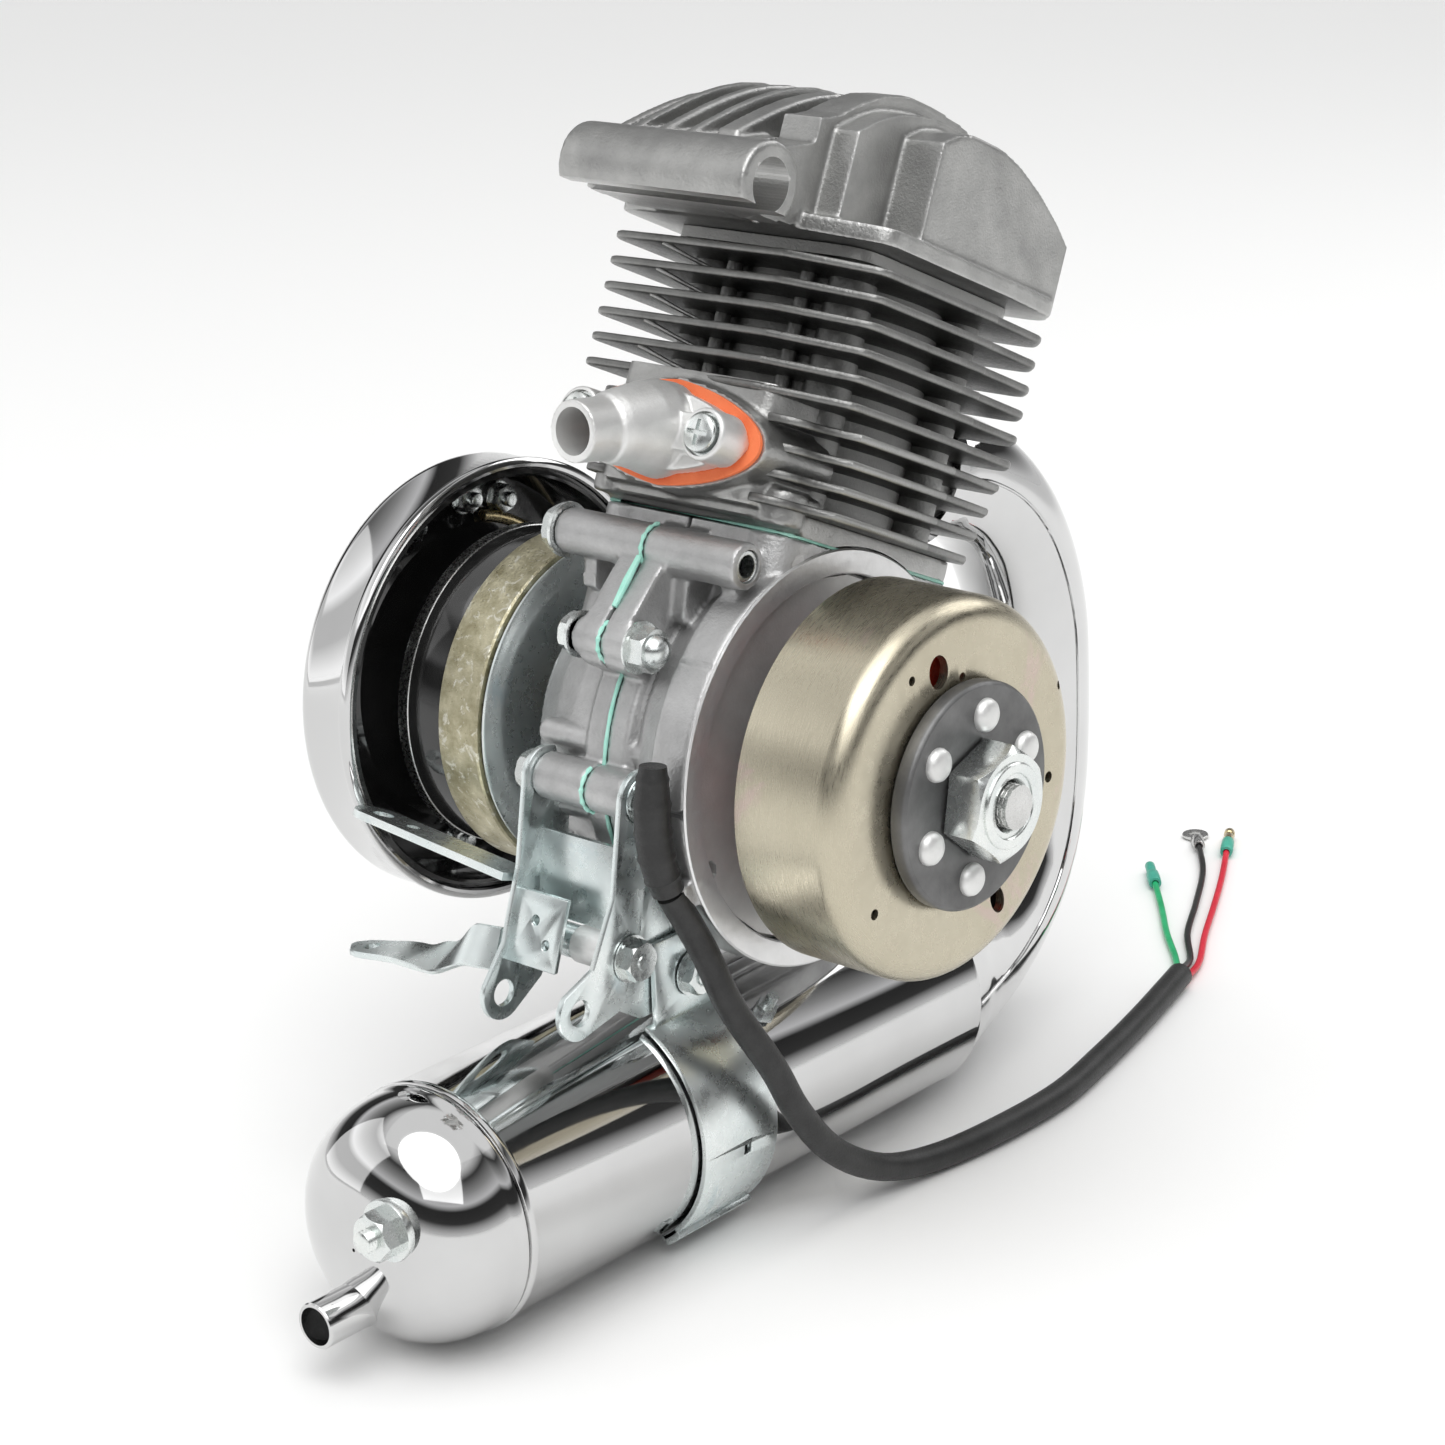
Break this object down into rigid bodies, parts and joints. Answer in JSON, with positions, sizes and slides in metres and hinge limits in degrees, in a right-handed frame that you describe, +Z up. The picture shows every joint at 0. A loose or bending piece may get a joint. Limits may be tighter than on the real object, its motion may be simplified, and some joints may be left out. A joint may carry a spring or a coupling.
{
  "type": "two-stroke moped engine",
  "caption": "Air-cooled two-stroke moped engine with finned cylinder, magneto flywheel, clutch drum, belt pulley and underslung chrome silencer.",
  "frame": {"origin": "centre of the hanger tube's bore across the front of the cylinder head, midway along it", "axes": "+X along the crankshaft towards the magneto flywheel, +Y towards the exhaust side, +Z up with the silencer level"},
  "size_m": [0.214, 0.4644, 0.3011],
  "materials": {
    "cast_aluminium": "sand-cast, satin",
    "fin_aluminium": "sand-cast fins, darkened, machined edges",
    "machined_aluminium": "machined, lightly polished",
    "bright_steel": "ground",
    "dark_steel": "oiled, dark",
    "cast_iron": "honed and turned",
    "zinc_plate": "bright zinc plated",
    "chrome_plate": "mirror chrome",
    "yellow_chromate": "spun, yellow chromate",
    "black_paint": "gloss black",
    "bronze": "worn bronze",
    "brass": "bright",
    "black_rubber": "satin moulded",
    "orange_gasket": "pressed fibre",
    "teal_sealant": "cured sealant",
    "red_coil": "varnished windings",
    "wire_red": "insulation",
    "wire_green": "insulation",
    "piston_alloy": "turned"
  },
  "bodies": {
    "case": {"crankcase_left": "cast_aluminium", "crankcase_right": "cast_aluminium", "crankcase_sealant": "teal_sealant", "main_bearing_left": "bright_steel", "main_bearing_right": "bright_steel", "cylinder": "fin_aluminium", "cylinder_sleeve": "cast_iron", "cylinder_head": "cast_aluminium", "head_stud_1": "zinc_plate", "head_stud_2": "zinc_plate", "head_stud_3": "zinc_plate", "head_stud_4": "zinc_plate", "intake_gasket": "orange_gasket", "intake_manifold": "machined_aluminium", "intake_screw_left": "zinc_plate", "intake_screw_right": "zinc_plate", "stator_plate": "machined_aluminium", "stator_core": "dark_steel", "ignition_coil": "red_coil", "lighting_coil": "red_coil", "exhaust_pipe": "chrome_plate", "muffler_body": "chrome_plate", "muffler_end_cap": "chrome_plate", "muffler_stud_nut": "zinc_plate", "engine_bracket": "zinc_plate", "torque_arm": "zinc_plate", "cable_lever": "zinc_plate", "muffler_strap": "zinc_plate", "mount_bush": "zinc_plate", "case_bolt_front": "zinc_plate", "case_bolt_rear": "zinc_plate", "mount_bolt": "zinc_plate", "bracket_bolt": "zinc_plate", "strap_bolt": "zinc_plate", "harness_grommet": "black_rubber", "harness_sheath": "black_rubber", "wire_red": "wire_red", "wire_black": "black_paint", "wire_green": "wire_green", "ring_terminal": "brass"},
    "crank": {"crankshaft_right": "bright_steel", "crankshaft_left": "bright_steel", "flywheel_cup": "yellow_chromate", "flywheel_magnets": "dark_steel", "flywheel_hub": "dark_steel", "flywheel_nut": "zinc_plate", "clutch_drum": "chrome_plate", "clutch_carrier": "black_paint", "clutch_shoe_ring": "dark_steel", "clutch_nut": "zinc_plate"},
    "pulley": {"clutch_bell": "black_paint", "pulley_band": "bronze", "pulley_disc": "zinc_plate", "pulley_bushing": "bronze"},
    "piston": {"piston": "piston_alloy", "piston_ring": "cast_iron", "gudgeon_pin": "bright_steel"},
    "rod": {"connecting_rod": "bright_steel", "big_end_cage": "bronze", "crankpin": "bright_steel"}
  },
  "joints": [
    {"name": "crank_spin", "type": "hinge", "parent": "case", "child": "crank", "pos_m": [0, 0.01358, -0.15733], "axis": [1, 0, 0], "continuous": true},
    {"name": "pulley_spin", "type": "hinge", "parent": "case", "child": "pulley", "pos_m": [0, 0.01358, -0.15733], "axis": [1, 0, 0], "continuous": true},
    {"name": "piston_slide", "type": "slide", "parent": "case", "child": "piston", "axis": [0, 0.4067, 0.9135], "range_m": [-0.0418, 0]},
    {"name": "rod_swing", "type": "hinge", "parent": "piston", "child": "rod", "pos_m": [0, 0.05584, -0.06241], "axis": [1, 0, 0], "range_deg": [-14.5, 14.5]}
  ]
}
